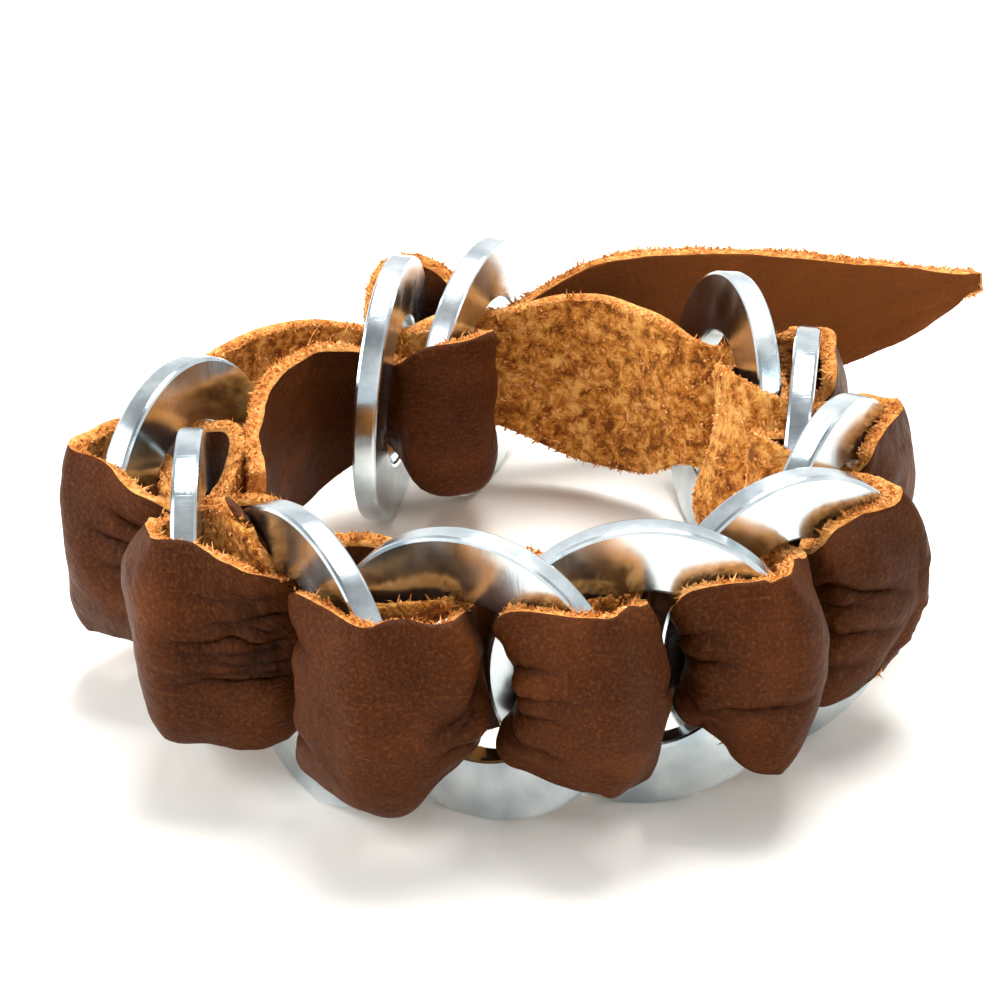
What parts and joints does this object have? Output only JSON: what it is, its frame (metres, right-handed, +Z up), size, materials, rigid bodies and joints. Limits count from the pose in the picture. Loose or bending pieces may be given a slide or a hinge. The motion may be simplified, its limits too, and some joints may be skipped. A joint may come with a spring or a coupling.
{
  "type": "leather strap bracelet threaded through steel washers",
  "caption": "Wrist bracelet: one leather strap folded through a row of overlapping steel washers, closed by threading its ends through a pair of washers, with a pointed free tail.",
  "frame": {"origin": "on the ground, under the middle of the bracelet's bounding box", "axes": "+Z is up through the wrist opening, -Y is the front of the ring, +X is the way the free tail points"},
  "size_m": [0.1128, 0.1064, 0.0341],
  "materials": {
    "zinc_plated_steel": "bright zinc plating, smooth and slightly bluish, with fine scratches and small pits",
    "strap_leather": "waxed brown grain on one face, rough tan suede on the other, raw frayed edges"
  },
  "bodies": {
    "root": {"washer_1": "zinc_plated_steel", "washer_2": "zinc_plated_steel", "washer_3": "zinc_plated_steel", "washer_4": "zinc_plated_steel", "washer_5": "zinc_plated_steel", "washer_6": "zinc_plated_steel", "washer_7": "zinc_plated_steel", "washer_8": "zinc_plated_steel", "washer_9": "zinc_plated_steel", "closure_washer_left": "zinc_plated_steel", "closure_washer_right": "zinc_plated_steel", "strap": "strap_leather"}
  },
  "joints": []
}
